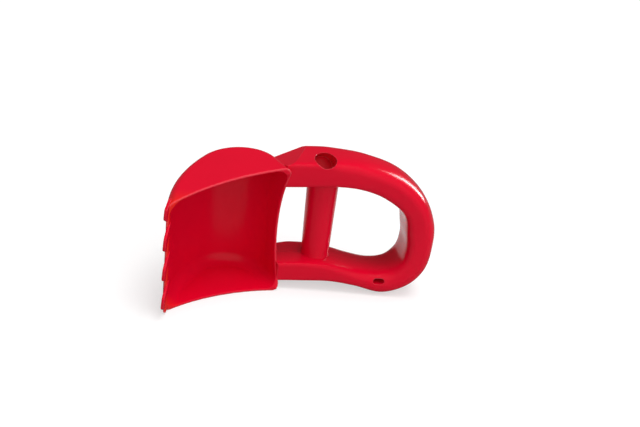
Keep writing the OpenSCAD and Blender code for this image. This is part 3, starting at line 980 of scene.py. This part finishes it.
def edge_wear_and_highlight(nodes, given):
    """Where edges show wear and a painted highlight: the bend of the surface, off the seam, broken
    up by noise.
    """
    soft = nodes.add("ShaderNodeBevel", {"samples": 6}, {"Radius": given["Edge Width"]})
    flat = nodes.add("ShaderNodeNewGeometry", out="Normal")
    same = nodes.add("ShaderNodeVectorMath", {"operation": "DOT_PRODUCT"},
                     {0: soft, 1: flat}, "Value")
    bend = nodes.span(same, 0.99, 0.80)
    along = nodes.add("ShaderNodeSeparateXYZ", inputs={"Vector": given["Vector"]}, out="Y")
    gap = nodes.sum("ABSOLUTE", nodes.sum("SUBTRACT", along, given["Seam Place"]))
    clear = nodes.span(gap, 0.0, given["Seam Gap"])
    scuff = nodes.noise(given["Vector"], given["Scuff Scale"], 4.0)
    broken = nodes.sum("MULTIPLY", nodes.sum("MULTIPLY", bend, clear), scuff)
    return {
        "Mask": nodes.sum("MULTIPLY", broken, given["Amount"], clamp=True),
        "Normal": nodes.mix("VECTOR", clear, flat, soft)}


def moulded_skin_group():
    return shared_group("moulded_skin", {
        "Vector": None, "Ripple Scale": 60.0, "Grain Scale": 900.0, "Grain Share": 0.25,
        "Base Roughness": 0.26, "Roughness Spread": 0.06,
    }, {"Height": "Float", "Roughness": "Float"}, moulded_skin)


def edge_wear_and_highlight_group():
    return shared_group("edge_wear_and_highlight", {
        "Vector": None, "Edge Width": 0.0009, "Amount": 0.5, "Scuff Scale": 260.0,
        "Seam Place": 0.0, "Seam Gap": 0.00001,
    }, {"Mask": "Float", "Normal": "Vector"}, edge_wear_and_highlight)


# For each piece: ripple scale, grain share, roughness added, share of edge wear and painted
# highlight, and how far the noise runs from its middle while the red drifts from its palest
# to its deepest
FINISHES = {
    "scoop": (48.0, 0.30, 0.02, 0.5, 0.16),
    "teeth": (70.0, 0.35, 0.05, 1.2, 0.14),
    "handle": (40.0, 0.22, 0.0, 0.95, 0.12),
    "grip": (26.0, 0.12, 0.02, 0.3, 0.10),
}
DRIFT_SCALE, DRIFT_LOW, DRIFT_HIGH = 14.0, 0.965, 1.03
PLASTIC_IOR, PLASTIC_SPECULAR = 1.5, 0.35


def plastic_for(piece):
    """The glossy red plastic, with the finish of this piece."""
    name = piece + "_red"
    material = bpy.data.materials.get(name)
    if material:
        return material
    colours = bpy.context.scene.digger_colours
    ripples, grain_share, rougher, edge_wear_and_highlight_share, cloud = FINISHES[piece]
    material = bpy.data.materials.new(name)
    material.use_nodes = True
    nodes = Nodes(material.node_tree)
    place = nodes.add("ShaderNodeTexCoord", out="Object")
    skin = nodes.add("ShaderNodeGroup", {"node_tree": moulded_skin_group()}, {
        "Vector": place, "Ripple Scale": ripples, "Grain Share": grain_share,
        "Base Roughness": colours.gloss + rougher}, None)
    on_seam = piece == "handle"
    edge = nodes.add("ShaderNodeGroup", {"node_tree": edge_wear_and_highlight_group()}, {
        "Vector": place, "Edge Width": colours.edge, "Amount": edge_wear_and_highlight_share,
        "Seam Place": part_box("handle_back")[0][1] if on_seam else None,
        "Seam Gap": 2 * colours.edge if on_seam else None}, None)
    bump = nodes.add("ShaderNodeBump", inputs={
        "Distance": colours.grain, "Height": skin["Height"], "Normal": edge["Normal"]})

    drift = nodes.span(nodes.noise(place, DRIFT_SCALE), 0.5 - cloud, 0.5 + cloud)
    pale, deep = ((*[share * c for c in colours.body], 1.0) for share in (DRIFT_LOW, DRIFT_HIGH))
    red = nodes.mix("RGBA", drift, pale, deep)
    # Painted glow near the lip, for light that comes through the plastic.
    lip_glow = nodes.add("ShaderNodeAttribute", {"attribute_name": "lip_glow"}, out="Fac")
    red = nodes.mix("RGBA", lip_glow, red, (*colours.lip_glow, 1.0))
    # Paler red on the edges: wear broken up by noise, and a painted highlight along the scoop's
    # rim and the crisp edges.
    rim = nodes.add("ShaderNodeAttribute", {"attribute_name": "rub_and_highlight"}, out="Fac")
    worn_and_highlight = nodes.sum("MAXIMUM", rim, edge["Mask"])
    red = nodes.mix("RGBA", worn_and_highlight, red, (*colours.worn_and_highlight, 1.0))

    shader = material.node_tree.nodes["Principled BSDF"]
    for key, value in (
            ("Base Color", red), ("Roughness", skin["Roughness"]), ("Normal", bump),
            ("IOR", PLASTIC_IOR), ("Specular IOR Level", PLASTIC_SPECULAR)):
        nodes.join(value, shader.inputs[key])
    return material


# ------------------------------------------------------------------- stage

WHITE = (1.0, 1.0, 1.0, 1.0)
FLOOR_REACH, FLOOR_ROUGHNESS, FLOOR_SPECULAR = 4, 0.8, 0.1
SENSOR, NEAREST, FARTHEST = 36.0, 0.01, 50.0

# Turn from +X, height, and spread of the lamp, all in degrees, and its strength
SUNS = (
    ("top_light", -40.0, 82.0, 34.0, 1.85),
    ("front_light", -64.0, 24.0, 100.0, 1.7),
)
# Lamps that only the gloss shows: place, point that it faces, width, length and strength
GLOSS_LAMPS = (
    ("shoulder_strip", (0.78, 0.5, 0.5), (0.08, 0, 0.08), 0.2, 0.7, 6.0),
    ("floor_gleam", (0.06, 0.26, 0.002), (0.06, 0.26, 1.0), 0.34, 0.34, 0.24),
)


def heading(turn, height):
    """The direction at this turn from +X and this height above the floor, in radians."""
    return Vector((math.cos(height) * math.cos(turn), math.cos(height) * math.sin(turn),
                   math.sin(height)))

class DIGGER_OT_stage(bpy.types.Operator):
    """Make the floor, the lamps, the room light and the camera"""

    bl_idname = "digger.stage"
    bl_label = "Stage"

    def execute(self, context):
        settings = context.scene.digger_stage
        self.floor(settings)
        self.room(context, settings)
        for name, turn, height, spread, strength in SUNS:
            towards = heading(math.radians(turn), math.radians(height))
            sun = self.lamp(name, "SUN", towards, Vector(), strength)
            sun.visible_glossy = False
            sun.data.angle = math.radians(spread)
        for name, place, aim, width, length, strength in GLOSS_LAMPS:
            area = self.lamp(name, "AREA", Vector(place), Vector(aim), strength)
            area.visible_camera = area.visible_diffuse = False
            area.data.shape = "RECTANGLE"
            area.data.size, area.data.size_y = width, length
        self.camera(context, settings)
        return {"FINISHED"}

    def lamp(self, name, kind, place, aim, strength):
        lamp = bpy.data.lights.new(name, kind)
        lamp.energy = strength
        obj = linked(bpy.data.objects.new(name, lamp))
        obj.location = place
        obj.rotation_euler = (aim - place).to_track_quat("-Z", "Y").to_euler()
        return obj

    def floor(self, settings):
        r = FLOOR_REACH
        floor = new_mesh_object(
            "floor", [(-r, -r, 0), (r, -r, 0), (r, r, 0), (-r, r, 0)], [(0, 1, 2, 3)])
        material = bpy.data.materials.new("floor_white")
        material.use_nodes = True
        nodes = Nodes(material.node_tree)
        path = nodes.add("ShaderNodeLightPath", out=None)
        shader = material.node_tree.nodes["Principled BSDF"]
        for key, value in (
                ("Base Color", nodes.mix("RGBA", path["Is Glossy Ray"],
                                         (*settings.floor_colour, 1.0),
                                         (*settings.mirrored_floor, 1.0))),
                ("Roughness", FLOOR_ROUGHNESS), ("Specular IOR Level", FLOOR_SPECULAR),
                ("Emission Color", WHITE),
                ("Emission Strength", nodes.sum(
                    "MULTIPLY", path["Is Camera Ray"], settings.floor_lift))):
            nodes.join(value, shader.inputs[key])
        floor.data.materials.append(material)

    def room(self, context, settings):
        """Even light from all round: dimmer in the gloss, and white to the camera."""
        world = bpy.data.worlds.new("studio_air")
        world.use_nodes = True
        world.node_tree.nodes.remove(world.node_tree.nodes["Background"])
        nodes = Nodes(world.node_tree)
        lit, mirrored, seen = (
            nodes.add("ShaderNodeBackground", inputs={"Color": WHITE, "Strength": strength})
            for strength in (settings.air, settings.mirrored_air, 1.0))
        path = nodes.add("ShaderNodeLightPath", out=None)
        part = nodes.add(
            "ShaderNodeMixShader", inputs={0: path["Is Glossy Ray"], 1: lit, 2: mirrored})
        pick = nodes.add(
            "ShaderNodeMixShader", inputs={0: path["Is Camera Ray"], 1: part, 2: seen})
        nodes.join(pick, world.node_tree.nodes["World Output"].inputs["Surface"])
        context.scene.world = world

    def camera(self, context, settings):
        camera = bpy.data.cameras.new("camera")
        camera.lens = settings.lens
        camera.sensor_width = SENSOR
        camera.clip_start, camera.clip_end = NEAREST, FARTHEST
        obj = linked(bpy.data.objects.new("camera", camera))
        ahead = heading(settings.azimuth, -settings.elevation)
        turn = ahead.to_track_quat("-Z", "Y").to_matrix()
        turn = turn @ Matrix.Rotation(settings.roll, 3, "Z")
        place = Vector(settings.aim) - ahead * settings.distance
        obj.matrix_world = Matrix.Translation(place) @ turn.to_4x4()
        context.scene.camera = obj
        context.scene.view_settings.view_transform = "Standard"


class DIGGER_PT_panel(bpy.types.Panel):
    """Lists the steps that make the digger"""

    bl_label = "Sand Digger"
    bl_idname = "DIGGER_PT_panel"
    bl_space_type = "VIEW_3D"
    bl_region_type = "UI"
    bl_category = "Sand Digger"

    def draw(self, context):
        layout = self.layout
        scene = context.scene
        for group in (scene.digger_sizes, scene.digger_colours, scene.digger_stage):
            box = layout.box()
            for key in group.__annotations__:
                box.prop(group, key)
        for operator in OPERATORS:
            layout.operator(operator.bl_idname)


OPERATORS = (
    DIGGER_OT_stage, DIGGER_OT_scoop_shell, DIGGER_OT_teeth, DIGGER_OT_handle, DIGGER_OT_grip)
CLASSES = (DiggerSizes, DiggerColours, DiggerStage, *OPERATORS, DIGGER_PT_panel)


def register():
    for cls in CLASSES:
        bpy.utils.register_class(cls)
    bpy.types.Scene.digger_sizes = PointerProperty(type=DiggerSizes)
    bpy.types.Scene.digger_colours = PointerProperty(type=DiggerColours)
    bpy.types.Scene.digger_stage = PointerProperty(type=DiggerStage)


def unregister():
    del bpy.types.Scene.digger_sizes
    del bpy.types.Scene.digger_colours
    del bpy.types.Scene.digger_stage
    for cls in reversed(CLASSES):
        bpy.utils.unregister_class(cls)


def main():
    register()
    bpy.ops.digger.stage()
    bpy.ops.digger.scoop_shell()
    bpy.ops.digger.teeth()
    bpy.ops.digger.handle()
    bpy.ops.digger.grip()


if __name__ == "__main__":
    main()
